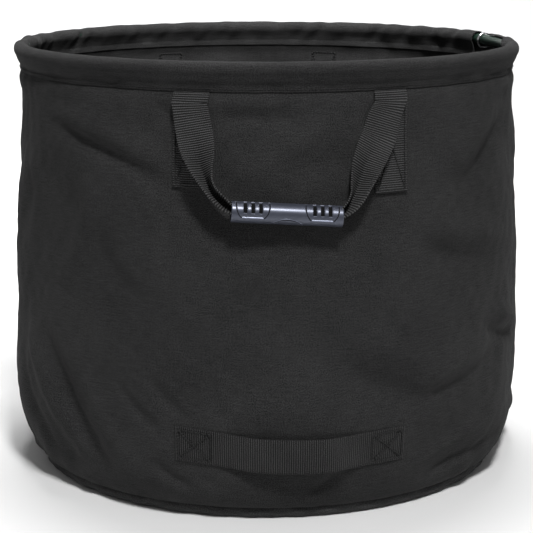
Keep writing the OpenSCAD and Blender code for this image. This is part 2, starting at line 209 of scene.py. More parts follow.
def fold_height(angle, z):
    """Sum of the folds: each is a bell, height * exp(-(d / width)^2), of the distance d from a curved
    line through its three points, fading to nothing at both ends."""
    arc = CLOTH_R * angle
    total = np.zeros_like(arc)
    t = np.linspace(0, 1, FOLD_SAMPLES)
    for start, middle, end, width, height in FOLDS:
        points = np.array([start, middle, end], float)
        points[:, 0] = np.radians(points[:, 0]) * CLOTH_R
        points[:, 1] *= MM
        pull = 2 * points[1] - (points[0] + points[2]) / 2
        line = (np.outer((1 - t) ** 2, points[0]) + np.outer(2 * t * (1 - t), pull)
                + np.outer(t ** 2, points[2]))
        low, high = line.min(0) - 3 * width * MM, line.max(0) + 3 * width * MM
        near = (arc > low[0]) & (arc < high[0]) & (z > low[1]) & (z < high[1])
        spot = np.stack([arc[near], z[near]], -1)
        gap = ((spot[:, None] - line[None]) ** 2).sum(-1)
        best = gap.argmin(1)
        along = best / (FOLD_SAMPLES - 1)
        fade = np.sin(math.pi * np.clip(along, 0.02, 0.98)) ** 0.6
        total[near] += FOLD_DEPTH * height * MM * fade * np.exp(-gap.min(1) / (width * MM) ** 2)
    return total


def lumps(angle, z, count, reach, seed):
    """Seeded soft lumps: waves sin(k . x + phase) of random direction and length about `reach` metres,
    whole numbers of waves round the bag so that the ends meet, scaled to unit spread."""
    draw = np.random.default_rng(seed)
    total = np.zeros(np.broadcast(angle, z).shape)
    for _ in range(count):
        length = reach * draw.uniform(0.6, 1.6)
        lean = draw.uniform(-1.2, 1.2)
        waves = round(TAU * CLOTH_R / length * math.cos(lean))
        total += np.sin(waves * angle + TAU * z / length * math.sin(lean) + draw.uniform(0, TAU))
    return total / math.sqrt(count / 2)


def wrapped(angle):
    """The angle brought between -pi and pi."""
    return np.angle(np.exp(1j * np.asarray(angle, float)))


def near_webbing(angle, z):
    """1 where webbing is sewn to the wall and stiffens it, 0 elsewhere."""
    hold = np.zeros(np.broadcast(angle, z).shape)
    for middle in (-LEG_TURN, LEG_TURN, math.pi - LEG_TURN, LEG_TURN - math.pi):
        side = np.abs(wrapped(angle - middle)) * CLOTH_R
        above = ease((z - PATCH_LOW[2] + 20 * MM) / (30 * MM))
        hold = np.maximum(hold, ease(1.6 - side / (24 * MM)) * above)
    beside, over = np.abs(angle) * CLOTH_R, np.abs(z - LOW_STRAP_Z)
    low = ease(1.5 - beside / LOW_STRAP_HOLD[0]) * ease(1.6 - over / LOW_STRAP_HOLD[1])
    return np.maximum(hold, low)


def wall_rise(angle, z):
    """How far the cloth stands out from the plain wall: folds, lumps, gathers above the base seam
    and a pinch under the hem seam, all held down at both seams and under the webbing."""
    angle, z = np.broadcast_arrays(wrapped(angle), np.asarray(z, float))
    above_base, below_hem = z - LIP_H, SEAM_Z - z
    free = ease(above_base / (35 * MM)) * ease(below_hem / (30 * MM))
    soft = 2.1 * MM * lumps(angle, z, 14, 0.2, 3) + 0.7 * MM * lumps(angle, z, 18, 0.07, 5)
    small = 0.22 * MM * lumps(angle, z, 20, 0.026, 8)
    sewn = 0.2 + 0.8 * ease((above_base - CLOTH_T) / (10 * MM))
    gather = 1.7 * MM * sewn * lumps(angle, z * 0.15, 8, 0.05, 11) * np.exp(-above_base / (22 * MM))
    near_hem = np.exp(-np.maximum(below_hem, 0) / (20 * MM))
    tuck = 0.7 * MM * lumps(angle, z * 0.2, 8, 0.045, 13) * near_hem
    pinch = (-1.9 * MM * np.exp(-(np.maximum(below_hem, 0) / (4.5 * MM)) ** 2)
             + 1.1 * MM * np.exp(-((below_hem - 13 * MM) / (8 * MM)) ** 2))
    hold = 1 - 0.75 * near_webbing(angle, z)
    return (fold_height(angle, z) + soft + small) * free * hold + (gather + tuck) * hold + pinch


def wall_point(angle, z, lift=0.0):
    """Point on the folded cloth's outside, or `lift` metres further out."""
    return around(angle, wall_radius(z) + wall_rise(angle, z) + lift, z)


# ---------------------------------------------------------------------------
# Mesh makers
# ---------------------------------------------------------------------------


def grid_faces(rows, columns, close_rows=False, close_columns=False):
    """Quads of a grid of points, counted row by row. A closed direction joins its last line to its
    first."""
    i = np.arange(rows if close_rows else rows - 1)
    j = np.arange(columns if close_columns else columns - 1)
    i, j = (a.ravel() for a in np.meshgrid(i, j, indexing="ij"))
    i2, j2 = (i + 1) % rows, (j + 1) % columns
    return np.stack([i * columns + j, i2 * columns + j, i2 * columns + j2, i * columns + j2], -1)


def point_values(piece, label, values):
    """Store one number per point for the material to read."""
    store = piece.data.attributes.new(label, "FLOAT", "POINT")
    store.data.foreach_set("value", np.ascontiguousarray(values, dtype=np.float32).ravel())


def mesh_object(name, points, faces, uv=None, flip=False):
    """Mesh from a point array and quads, with an optional UV per point, in metres."""
    points = np.ascontiguousarray(points, dtype=np.float32).reshape(-1, 3)
    faces = faces[:, ::-1] if flip else faces
    mesh = bpy.data.meshes.new(name)
    mesh.vertices.add(len(points))
    mesh.vertices.foreach_set("co", points.ravel())
    mesh.loops.add(faces.size)
    mesh.loops.foreach_set("vertex_index", np.ascontiguousarray(faces, dtype=np.int32).ravel())
    mesh.polygons.add(len(faces))
    mesh.polygons.foreach_set("loop_start", np.arange(0, faces.size, faces.shape[1], dtype=np.int32))
    mesh.polygons.foreach_set("use_smooth", np.ones(len(faces), dtype=bool))
    if uv is not None:
        layer = mesh.uv_layers.new(name="cloth")
        spread = np.ascontiguousarray(np.reshape(uv, (-1, 2))[faces.ravel()], dtype=np.float32)
        layer.data.foreach_set("uv", spread.ravel())
    mesh.update()
    mesh.validate()
    piece = bpy.data.objects.new(name, mesh)
    bpy.context.scene.collection.objects.link(piece)
    return piece


def thicken(piece, thickness, even=False, offset=-1):
    """Give cloth its thickness: inwards from its face, or half to each side with an offset of 0."""
    wall = piece.modifiers.new("Thickness", "SOLIDIFY")
    wall.thickness = thickness
    wall.offset = offset
    wall.use_even_offset = even


def sheet_object(name, points, uv, thickness, close=False, flip=False, even=False, offset=-1):
    """A grid of points as a sheet of cloth or webbing."""
    rows, columns = points.shape[:2]
    piece = mesh_object(name, points, grid_faces(rows, columns, close_rows=close), uv, flip)
    thicken(piece, thickness, even, offset)
    return piece


def paint_node(node, material):
    """Give a node that is shown as it is its material."""
    slots = frame["nodes"][node].data.materials
    slots.clear()
    slots.append(material)


def finish_piece(piece, material, body, nodes=()):
    """Give a piece its material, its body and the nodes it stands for."""
    piece.data.materials.clear()
    piece.data.materials.append(material)
    if body:
        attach(piece, body)
    if nodes:
        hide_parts(*nodes)


# ---------------------------------------------------------------------------
# Materials
# ---------------------------------------------------------------------------


class Value:
    """A node's output that takes part in ordinary arithmetic, adding Math nodes."""

    def __init__(self, shader, socket):
        self.shader = shader
        self.socket = socket

    def math(self, operation, *others):
        """A Math node on this value and the others, in that order."""
        inputs = dict(enumerate((self, *others)))
        return self.shader.add("ShaderNodeMath", {"operation": operation}, inputs)

    def __add__(self, other):
        return self.math("ADD", other)

    def __sub__(self, other):
        return self.math("SUBTRACT", other)

    def __mul__(self, other):
        return self.math("MULTIPLY", other)

    def __rsub__(self, other):
        return self.shader.add("ShaderNodeMath", {"operation": "SUBTRACT"}, {0: other, 1: self})

    __radd__ = __add__
    __rmul__ = __mul__

    def sin(self):
        """Sine of the value, in radians."""
        return self.math("SINE")

    def clamp(self):
        """The value held between 0 and 1."""
        return self.shader.add("ShaderNodeClamp", {}, {"Value": self})


class Shader:
    """A material around one Principled surface; add() makes any other node."""

    def __init__(self, name, roughness, specular=0.5, **constants):
        self.material = bpy.data.materials.new(name)
        self.material.use_nodes = True
        self.tree = self.material.node_tree
        self.surface = self.tree.nodes["Principled BSDF"]
        self.surface.inputs["Roughness"].default_value = roughness
        self.surface.inputs["Specular IOR Level"].default_value = specular
        for label, value in constants.items():
            self.surface.inputs[label.replace("_", " ").title()].default_value = value

    def add(self, kind, settings=None, inputs=None, output=0):
        """A node with its settings made first, then its sockets fed, as the value of one output."""
        node = self.tree.nodes.new(kind)
        for label, value in (settings or {}).items():
            setattr(node, label, value)
        for label, value in (inputs or {}).items():
            self.feed(node.inputs[label], value)
        return Value(self, node.outputs[output])

    def feed(self, socket, value):
        """Link a value to a socket, or set the socket to a plain number or colour."""
        if isinstance(value, Value):
            self.tree.links.new(value.socket, socket)
        else:
            socket.default_value = value

    def object_place(self):
        """Place in the bag's own frame, in metres."""
        return self.add("ShaderNodeTexCoord", output="Object")

    def cloth_place(self):
        """The piece's own UV map, in metres, as a vector and its two numbers."""
        place = self.add("ShaderNodeUVMap", {"uv_map": "cloth"})
        u = self.add("ShaderNodeSeparateXYZ", {}, {"Vector": place}, "X")
        return place, u, Value(self, u.socket.node.outputs["Y"])

    def scaled(self, place, scale):
        """A place stretched by three factors, for streaks."""
        return self.add("ShaderNodeMapping", {}, {"Vector": place, "Scale": scale})

    def noise(self, place, scale, detail=3.0, roughness=0.5):
        """Soft random mottle between about 0 and 1."""
        return self.add("ShaderNodeTexNoise", {}, {
            "Vector": place, "Scale": scale, "Detail": detail, "Roughness": roughness})

    def tint(self, factor, dark, light):
        """Colour that goes from dark to light with the factor."""
        inputs = {"Factor": factor, "A": (*dark, 1), "B": (*light, 1)}
        return self.add("ShaderNodeMix", {"data_type": "RGBA"}, inputs, "Result")

    def bump(self, height, distance):
        """Fine relief: a height of 1 stands the given distance out of the surface."""
        normal = self.add("ShaderNodeBump", {}, {
            "Height": height, "Distance": distance, "Strength": 1.0})
        self.feed(self.surface.inputs["Normal"], normal)

    def colour(self, value):
        """Feed the surface's colour."""
        self.feed(self.surface.inputs["Base Color"], value)

    def roughness(self, value):
        """Feed the surface's roughness."""
        self.feed(self.surface.inputs["Roughness"], value)

    def coat(self, value):
        """Feed the weight of the clear coat."""
        self.feed(self.surface.inputs["Coat Weight"], value)


def shade(colour, factor):
    """The colour made darker or lighter by a factor, at most 1."""
    return tuple(min(1.0, c * factor) for c in colour)


def canvas_material(name, colour, warp=1.7 * MM, weft=1.35 * MM, relief=0.16 * MM):
    """Plain-woven canvas: over-and-under threads, slubs along the weft, and broad rubbed patches."""
    shader = Shader(name, 0.95, 0.12, sheen_weight=0.015, sheen_roughness=0.5)
    place, u, v = shader.cloth_place()
    threads = (u * (TAU / warp)).sin() * (v * (TAU / weft)).sin()
    slub = shader.noise(shader.scaled(place, (60, 520, 1)), 1.0, 2.0, 0.6)
    slub_up = shader.noise(shader.scaled(place, (520, 70, 1)), 1.0, 2.0, 0.6)
    fuzz = shader.noise(place, 900.0, 2.0, 0.6)
    patches = shader.noise(place, 9.0, 4.0, 0.55)
    tone = (threads * 0.12 + (slub - 0.5) * 0.7 + (slub_up - 0.5) * 0.4 + (fuzz - 0.5) * 3.2
            + (patches - 0.5) * 0.6 + 0.5).clamp()
    shader.colour(shader.tint(tone, shade(colour, 0.3), shade(colour, 1.7)))
    shader.bump(threads * 0.5 + slub * 1.1 + slub_up * 0.6 + fuzz * 0.6, relief)
    return shader.material


def webbing_material(name, colour, rib=2.4 * MM, relief=1.0 * MM):
    """Ribbed webbing: ribs across it, fine yarns along it; painted shade in their hollows, painted
    highlight on crests.
    """
    shader = Shader(name, 0.75, 0.3, sheen_weight=0.02, sheen_roughness=0.4)
    place, u, v = shader.cloth_place()
    ribs = (u * (TAU / rib)).sin() * 0.5 + 0.5
    weave = v * (TAU / (1.9 * MM)) + (u * (math.pi / rib)).sin() * 1.2
    yarns = weave.sin() * 0.5 + 0.5
    fuzz = shader.noise(place, 700.0, 2.0, 0.6)
    patches = shader.noise(place, 24.0, 3.0, 0.5)
    # Painted shade and highlight: the colour is dark in the hollows of the ribs and yarns and light on
    # their crests.
    tone = (ribs * 1.25 + yarns * 0.4 + (fuzz - 0.5) * 1.6 + (patches - 0.5) * 0.8 - 0.42).clamp()
    shader.colour(shader.tint(tone, shade(colour, 0.06), shade(colour, 2.7)))
    shader.bump(ribs + yarns * 0.35 + fuzz * 0.25, relief)
    return shader.material


def thread_material(name, colour):
    """Twisted sewing thread."""
    shader = Shader(name, 0.6, 0.4)
    twist = shader.noise(shader.object_place(), 900.0, 1.0, 0.5)
    shader.colour(shader.tint(twist.clamp(), shade(colour, 0.7), shade(colour, 1.4)))
    shader.bump(twist, 0.1 * MM)
    return shader.material


def grip_material(name, colour):
    """Satin moulded plastic with flow mottle, painted shade in its slots and a painted highlight on its
    ridges.
    """
    shader = Shader(name, 0.34, 0.5, metallic=0.55, coat_weight=0.25, coat_roughness=0.24)
    place = shader.object_place()
    mottle = shader.noise(place, 60.0, 3.0, 0.55)
    grain = shader.noise(place, 1600.0, 2.0, 0.5)
    # Painted shade: the pit values darken the colour in the finger slots and sunk channels.
    pit = shader.add("ShaderNodeAttribute", {"attribute_name": "pit"}, output="Fac")
    # Painted highlight: the raised ridges get a lighter colour.
    ridge_highlight = shader.add("ShaderNodeAttribute", {"attribute_name": "ridge_highlight"}, output="Fac")
    tone = (0.35 + mottle * 0.1 - pit * 0.45 + ridge_highlight * 0.6).clamp()
    shader.colour(shader.tint(tone, shade(colour, 0.02), shade(colour, 2.6)))
    shader.roughness(0.3 + mottle * 0.14 + pit * 0.5)
    shader.coat((0.25 - pit * 0.25).clamp())
    shader.bump(grain, 0.02 * MM)
    return shader.material


def hoop_material(name, colour):
    """Glossy extruded tube with a faint fine bump and dust."""
    shader = Shader(name, 0.4, 0.4, coat_weight=0.1, coat_roughness=0.2)
    place = shader.object_place()
    dust = shader.noise(place, 45.0, 4.0, 0.6)
    shader.colour(shader.tint(dust.clamp(), shade(colour, 0.75), shade(colour, 1.6)))
    shader.roughness(0.34 + dust * 0.25)
    shader.bump(shader.noise(place, 300.0, 2.0, 0.5), 0.03 * MM)
    return shader.material


def metal_material(name, colour):
    """Bright plated spring wire with light scuffs."""
    shader = Shader(name, 0.16, 0.5, metallic=1.0)
    scuff = shader.noise(shader.object_place(), 700.0, 3.0, 0.6)
    shader.colour(shader.tint(scuff.clamp(), shade(colour, 0.8), shade(colour, 1.05)))
    shader.roughness(0.08 + scuff * 0.2)
    return shader.material


def plain_material(name, colour, roughness):
    """Dull moulded plastic or woven tape for pieces out of sight."""
    shader = Shader(name, roughness, 0.35)
    mottle = shader.noise(shader.object_place(), 400.0, 3.0, 0.6)
    shader.colour(shader.tint(mottle.clamp(), shade(colour, 0.7), shade(colour, 1.3)))
    shader.bump(mottle, 0.15 * MM)
    return shader.material


# ---------------------------------------------------------------------------
# Sizes and colours a user would change
# ---------------------------------------------------------------------------


def colour_property(name, description, default):
    """A colour that the sidebar shows, in linear red, green and blue."""
    return bpy.props.FloatVectorProperty(
        name=name, description=description, default=default, subtype="COLOR", min=0, max=1)


class BagFinish(bpy.types.PropertyGroup):
    """Colours of the bag."""

    canvas: colour_property("Canvas", "Wall canvas", (0.0245, 0.0245, 0.0247))
    hem: colour_property("Hem", "Canvas of the hem", (0.0235, 0.0235, 0.0237))
    base: colour_property("Base", "Coated canvas of the base", (0.042, 0.042, 0.0423))
    webbing: colour_property("Webbing", "Handle and strap webbing", (0.026, 0.026, 0.0263))
    # Darker copy of the webbing colour for the low strap: painted shade.
    low_webbing: colour_property("Low webbing", "Webbing of the low strap", (0.0165, 0.0165, 0.0167))
    thread: colour_property("Thread", "Sewing thread", (0.004, 0.004, 0.0041))
    grip: colour_property("Grip", "Moulded grips", (0.072, 0.079, 0.106))
    hoop: colour_property("Hoop", "Hoop tube", (0.004, 0.017, 0.01))
    ring: colour_property("Ring", "Hang ring", (0.8, 0.81, 0.83))


class BagCloth(bpy.types.PropertyGroup):
    """Fineness of the cloth and sewing."""

    wall_columns: bpy.props.IntProperty(
        name="Wall columns", description="Points along half of the wall", default=300, min=60)
    wall_rows: bpy.props.IntProperty(
        name="Wall rows", description="Points up the wall", default=120, min=40)
    hem_gather: bpy.props.FloatProperty(
        name="Hem gather", description="Height of the back hem's gathers", default=2.0 * MM,
        unit="LENGTH", min=0, max=4 * MM)
    stitch: bpy.props.FloatProperty(
        name="Stitch", description="Length of one stitch with its gap", default=3.6 * MM,
        unit="LENGTH", min=2 * MM, max=6 * MM)


def cloth():
    """The scene's cloth settings."""
    return bpy.context.scene.bag_cloth


def colour_of(part):
    """The colour set for a part."""
    return tuple(getattr(bpy.context.scene.bag_finish, part))


MAKERS = {
    "canvas": canvas_material, "hem": canvas_material, "base": canvas_material,
    "webbing": webbing_material, "low_webbing": webbing_material, "thread": thread_material,
    "grip": grip_material, "hoop": hoop_material, "ring": metal_material,
}


def material_of(part):
    """The material of a part, made when it is first asked for."""
    name = "bag_" + part
    return bpy.data.materials.get(name) or MAKERS[part](name, colour_of(part))


# ---------------------------------------------------------------------------
# Wall and base
# ---------------------------------------------------------------------------


def wall_profile(rows):
    """Heights spaced evenly along the wall's outline, and the distance along it."""
    fine = np.concatenate([
        CORNER_Z - CORNER_H * np.cos(np.linspace(0, math.pi / 2, 200)),
        np.linspace(CORNER_Z, WALL_HIGH[2], 200)[1:]])
    fine = np.clip(fine, LIP_H, None)
    run = distance_along(fine, wall_radius(fine))
    spaced = np.linspace(0, run[-1], rows)
    return np.interp(spaced, run, fine), spaced


def wall_half(name, start, nodes):
    """Half of the wall: (angle, distance up the outline) -> the folded cloth's outside."""
    angle = np.linspace(start, start + math.pi, cloth().wall_columns)[:, None]
    heights, run = wall_profile(cloth().wall_rows)
    points = wall_point(angle, heights[None])
    uv = np.stack(np.broadcast_arrays(angle * CLOTH_R, run[None]), -1)
    piece = sheet_object(name, points, uv, CLOTH_T, even=True)
    finish_piece(piece, material_of("canvas"), "bag", nodes)


def base_shell():
    """Round base: (angle, distance from the middle) -> a flat underside with faint dents, then a
    rolled edge with small gathers, drawn in at the seam with the wall."""
    angle = np.linspace(0, TAU, 361)[:-1][:, None]
    bend = np.linspace(-math.pi / 2, math.pi / 3, 14)
    roll = 7.1 * MM
    middle = BASE_R + 1.7 * MM - roll
    floor = np.linspace(0, middle, 46)[:-1]
    radius = np.concatenate([floor, middle + roll * np.cos(bend), [BASE_R - 0.1 * MM]])
    height = np.concatenate([0 * floor, roll + roll * np.sin(bend), [LIP_H + CLOTH_T + 1.5 * MM]])
    edge = ease((radius - BASE_R + 30 * MM) / (20 * MM)) * ease((LIP_H + CLOTH_T - height) / (6 * MM))
    gather = 0.8 * MM * lumps(angle, 0, 10, 0.04, 21) * edge[None]
    flat = ease(radius / 0.1) * ease((BASE_R - 1.6 * LIP_H - radius) / (30 * MM))
    dents = 0.35 * MM * (1 + lumps(angle, radius[None], 10, 0.12, 23) * 0.5) * flat[None]
    points = around(angle, radius[None] + gather, height[None] + np.clip(dents, 0, None))
    run = distance_along(radius, height)[None]
    uv = np.stack(np.broadcast_arrays(run * np.sin(angle), -run * np.cos(angle)), -1)
    piece = sheet_object("base_sheet", points, uv, 1.6 * MM, close=True, even=True)
    weld = piece.modifiers.new("Centre", "WELD")
    weld.merge_threshold = 0.02 * MM
    piece.modifiers.move(1, 0)
    finish_piece(piece, material_of("base"), "bag", ["base_panel"])


def seam_tape(middle, columns, rows):
    """Bound seam inside the wall: a narrow crowned band that follows the cloth's folds."""
    angle = middle + np.linspace(-0.04, 0.04, columns)[:, None]
    z = np.linspace(CORNER_Z + 4 * MM, SEAM_Z - 5 * MM, rows)[None]
    crown = 0.5 * MM * np.cos(np.linspace(-1.2, 1.2, columns))[:, None]
    points = wall_point(angle, z, -CLOTH_T - 0.05 * MM - crown)
    uv = np.stack(np.broadcast_arrays(z, angle * CLOTH_R), -1)
    return points.reshape(-1, 3), uv.reshape(-1, 2)


def seam_tapes():
    """Both bound side seams as one piece."""
    columns, rows = 9, 80
    tapes = [seam_tape(side, columns, rows) for side in (-FRONT_EDGE, FRONT_EDGE)]
    points, uv = (np.concatenate(grids) for grids in zip(*tapes))
    faces = grid_faces(columns, rows)
    piece = mesh_object("side_tapes", points, np.concatenate([faces, faces + columns * rows]), uv,
                        flip=True)
    thicken(piece, 0.8 * MM)
    finish_piece(piece, material_of("webbing"), "bag", ["side_seam_tapes"])


# ---------------------------------------------------------------------------
# Hem
# ---------------------------------------------------------------------------


def hem_outline(share):
    """Radius and height of the hem's cross-section at shares of its length, from 0 at the outer
    flap's lower edge, over the hoop, to 1 at the inner one, and that length."""
    low, neck = SEAM_Z, SEAM_Z + 7 * MM
    bow = np.radians(np.linspace(-35, 215, 60))
    radius = np.concatenate([
        [wall_radius(low) + CASING_T, wall_radius(neck) + CASING_T],
        RIM_R + CASING_R * np.cos(bow),
        [wall_radius(neck) - CLOTH_T - CASING_T, wall_radius(low) - CLOTH_T - CASING_T]])
    height = np.concatenate([[low, neck], HOOP_Z + CASING_R * np.sin(bow), [neck, low]])
    run = distance_along(radius, height)
    at = share * run[-1]
    return np.interp(at, run, radius), np.interp(at, run, height), run[-1]


def hem_rise(angle, share, gather):
    """Height of the hem's gathers: slanting waves, strongest beside the tube and gone at the seam."""
    hold = np.sin(math.pi * share) ** 0.8 * (0.3 + 0.7 * ease((share - 0.52) / 0.14))
    slant = lumps(angle + (share - 0.5) * 0.1, share * 0.02, 9, 0.06, 31)
    fine = lumps(angle - (share - 0.5) * 0.16, share * 0.01, 9, 0.03, 37)
    return gather * (0.6 * slant + 0.35 * fine) * hold


def hem_part(name, start, end, columns, gather, nodes, share_end=1.0, mouth=0.0, mouth_at=None):
    """A stretch of hem: (angle, share of the cross-section) -> the casing's outside, gathered, with
    its mouth cut on a slant and flared."""
    share = np.linspace(0, share_end, max(6, int(64 * share_end)))
    radius, height, girth = hem_outline(share)
    line = np.linspace(0, 1, columns)[:, None]
    slant = mouth * (share[None] - 0.35)
    angle = start + (end - start) * line
    if mouth_at == "end":
        angle = angle - slant * line ** 8
    if mouth_at == "start":
        angle = angle + slant * (1 - line) ** 8
    rise = hem_rise(angle, share[None], gather(angle))
    if mouth_at:
        edge = line if mouth_at == "end" else 1 - line
        rise = rise + 0.9 * MM * edge ** 40 * np.sin(math.pi * share)[None]
    out = unit(np.stack([np.gradient(height), -np.gradient(radius)], -1))
    sewn = np.exp(-((height - SEAM_Z - 3 * MM) / (4 * MM)) ** 2)
    flap = ease((SEAM_Z + 14 * MM - height) / (12 * MM))
    pinch = wall_rise(angle, np.minimum(height, SEAM_Z)[None]) * flap[None]
    pressed = 0.3 * MM * sewn * np.sign(0.5 - share)
    r = radius[None] + rise * out[None, :, 0] + pinch - pressed[None]
    z = height[None] + rise * out[None, :, 1]
    points = around(angle, r, z)
    uv = np.stack(np.broadcast_arrays(angle * CLOTH_R, (share * girth)[None]), -1)
    piece = sheet_object(name, points, uv, CASING_T)
    finish_piece(piece, material_of("hem"), "bag", nodes)


def front_gather(angle):
    """The front hem is pulled smooth, and gathers only towards its ends."""
    return cloth().hem_gather * (0.2 + 0.4 * ease((np.abs(angle) - 1.15) / 0.4))


def back_gather(angle):
    """The back hem gathers all along, more in some places than in others."""
    return cloth().hem_gather * (0.95 + 0.4 * np.sin(3 * angle + 0.6))


# ---------------------------------------------------------------------------
# Webbing, threads and grips
# ---------------------------------------------------------------------------


def closed_tube(name, sections):
    """Solid of closed sections with both ends capped by a fan towards the middle."""
    first, last = (np.broadcast_to(ring.mean(0), ring.shape) for ring in (sections[0], sections[-1]))
    points = np.concatenate([first[None], sections, last[None]])
    piece = mesh_object(name, points, grid_faces(*points.shape[:2], close_columns=True))
    weld = piece.modifiers.new("Ends", "WELD")
    weld.merge_threshold = 0.001 * MM
    return piece


def patch(name, middle, drop, node):
    """The sewn end of a handle, laid on the folded wall; drop lengthens it downwards."""
    z = np.linspace(PATCH_LOW[2] - drop, PATCH_HIGH[2] - 1.2 * MM, 64)
    turn = np.linspace(-1, 1, 13) * WEB_W / 2 / HEM_R
    angle = middle + turn[:, None]
    hem_roll = 1.2 * MM * np.exp(-((z - z[0]) / (2 * MM)) ** 2)
    points = wall_point(angle, z[None], WEB_T + 0.15 * MM + hem_roll[None])
    uv = np.stack(np.broadcast_arrays(z[None], turn[:, None] * HEM_R), -1)
    piece = sheet_object(name, points, uv, WEB_T)
    finish_piece(piece, material_of("webbing"), "bag", [node])


# Middle line of each free leg: place along the bag's width and height, in millimetres, for the
# right leg (1) and the left leg (-1), from below the fold to inside the grip
LEG_LINES = {
    1: ((103, 455), (97, 441), (90.5, 419), (82.5, 403), (75.5, 389), (70, 374), (66, 362),
        (60, 352.5), (52, 345.5), (44, 340.5)),
    -1: ((-105.5, 455), (-104, 443), (-100.5, 421), (-98, 406), (-95.5, 391), (-91, 377),
         (-85, 367), (-78, 360), (-70, 352.5), (-61, 347.3)),
}


def smoothed(points, spacing, blur):
    """Path through points, resampled evenly and rounded off by a moving average of width `blur`."""
    count = 600
    run = distance_along(*points.T)
    fine = np.linspace(0, run[-1], count)
    line = np.stack([np.interp(fine, run, column) for column in points.T], -1)
    reach = max(1, int(blur / run[-1] * count / 2))
    before, after = 2 * line[0] - line[reach:0:-1], 2 * line[-1] - line[-2:-reach - 2:-1]
    padded = np.concatenate([before, line, after])
    window = np.hanning(2 * reach + 3)[1:-1]
    window = window / window.sum()
    soft = np.stack([np.convolve(column, window, mode="valid") for column in padded.T], -1)
    return soft[np.linspace(0, len(soft) - 1, int(run[-1] / spacing)).astype(int)]


def leg_centre(side):
    """Middle line of one free leg, with x to the right, y away from the bag and z up: a short stretch
    up the wall, a tight turn over the fold, then down and round into the grip's end."""
    fold = 1.7 * MM
    foot = math.sqrt(HEM_R ** 2 - LEG_X ** 2) + 1.0 * MM
    top = PATCH_HIGH[2] - 0.4 * MM
    turn = np.linspace(math.pi, 0, 9)
    loop = np.stack(np.broadcast_arrays(
        side * LEG_X, foot + fold * (1 + np.cos(turn)), top - fold + fold * np.sin(turn)), -1)
    start = np.array([[side * LEG_X, foot, top - fold - 0.5 * MM]])
    line = np.array(LEG_LINES[side]) * MM
    share = np.linspace(0.12, 1, len(line))
    away = (foot + 2 * fold) * (1 - ease(share)) + abs(GRIP_PIVOT[1]) * ease(share)
    body = np.stack([line[:, 0], away, line[:, 1]], -1)
    upper = smoothed(np.concatenate([start, loop, body[:1]]), 0.6 * MM, 1.2 * MM)
    lower = smoothed(np.concatenate([body[:1] * 2 - body[1:2], body]), 1.5 * MM, 16 * MM)
    keep = lower[:, 2] < upper[-1, 2] - 4 * MM
    return np.concatenate([upper, lower[keep]])


def strap_sections(side):
    """One leg's frame along its length: middle, direction across it, direction out of its face, and
    the distance run as a share."""
    centre = leg_centre(side)
    along = unit(np.gradient(centre, axis=0))
    run = distance_along(*centre.T)
    share = run / run[-1]
    flat = -np.array([math.cos(LEG_TURN), -side * math.sin(LEG_TURN), 0])
    hanging = np.cross([0, 1, 0], along)
    mix = ease((share - 0.12) / 0.4)[:, None]
    across = flat * (1 - mix) + hanging * mix
    across = unit(across - along * (across * along).sum(-1, keepdims=True))
    out = np.cross(along, across)
    return centre, across, out, share


def open_angle(share, late):
    """Half angle of the folded webbing's V: flat at the hem, nearly shut in the grip."""
    shut = ease((share - 0.26) / (0.52 + late))
    last = ease((share - 0.9) / 0.1)
    return math.pi / 2 - math.radians(76) * shut - math.radians(6) * last


def leg_points(side, front, j):
    """One leg as a V folded along its middle: (distance, place across) -> point, crease towards the
    bag. Its first stretch, over the fold, keeps to the wall's own curve and folds."""
    centre, across, out, share = strap_sections(side)
    angle = open_angle(share, 0.16 if side > 0 else 0.0)
    half = WEB_W / 2 * (1 - 0.1 * ease((share - 0.85) / 0.15))
    blunt = 0.004
    bend = np.sqrt(j ** 2 + blunt) - math.sqrt(blunt)
    apart = 1.2 * MM * ease((share - 0.4) / 0.4)
    wide = (half * np.sin(angle))[:, None] * j + apart[:, None] * np.tanh(j * 8)
    deep = (half * np.cos(angle))[:, None] * (bend - 0.5)
    deep = deep + 0.5 * MM * np.sin(share * 12)[:, None] * j ** 2
    points = centre[:, None] + across[:, None] * wide[..., None] + out[:, None] * deep[..., None]
    local = np.arctan2(centre[:, :1], centre[:, 1:2]) - half[:, None] * j / HEM_R
    z = np.broadcast_to(centre[:, 2:], local.shape)
    lift = np.hypot(centre[:, :1], centre[:, 1:2]) - wall_radius(centre[:, 2:])
    radius = wall_radius(z) + wall_rise(local if front else math.pi - local, z) + lift
    laid = np.stack([radius * np.sin(local), radius * np.cos(local), z], -1)
    hold = 1 - ease((share - 0.05) / 0.2)[:, None, None]
    return laid * hold + points * (1 - hold)


def strap(name, front, node):
    """The free webbing: over the fold, down one leg, through the grip and up the other."""
    j = np.linspace(-1, 1, 25)
    right = leg_points(1, front, j)
    left = leg_points(-1, front, -j)[::-1]
    step = np.linspace(0, 1, 40)[1:-1, None, None]
    bridge = right[-1] * (1 - step) + left[0] * step
    points = np.concatenate([right, bridge, left])
    run = distance_along(*points[:, len(j) // 2].T)
    uv = np.stack(np.broadcast_arrays(run[:, None], (j * WEB_W / 2)[None]), -1)
    way = -1 if front else 1
    points[..., 1] *= way
    piece = sheet_object(name, points, uv, WEB_T, flip=front, offset=0)
    finish_piece(piece, material_of("webbing"), None, [node])
    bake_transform(piece)


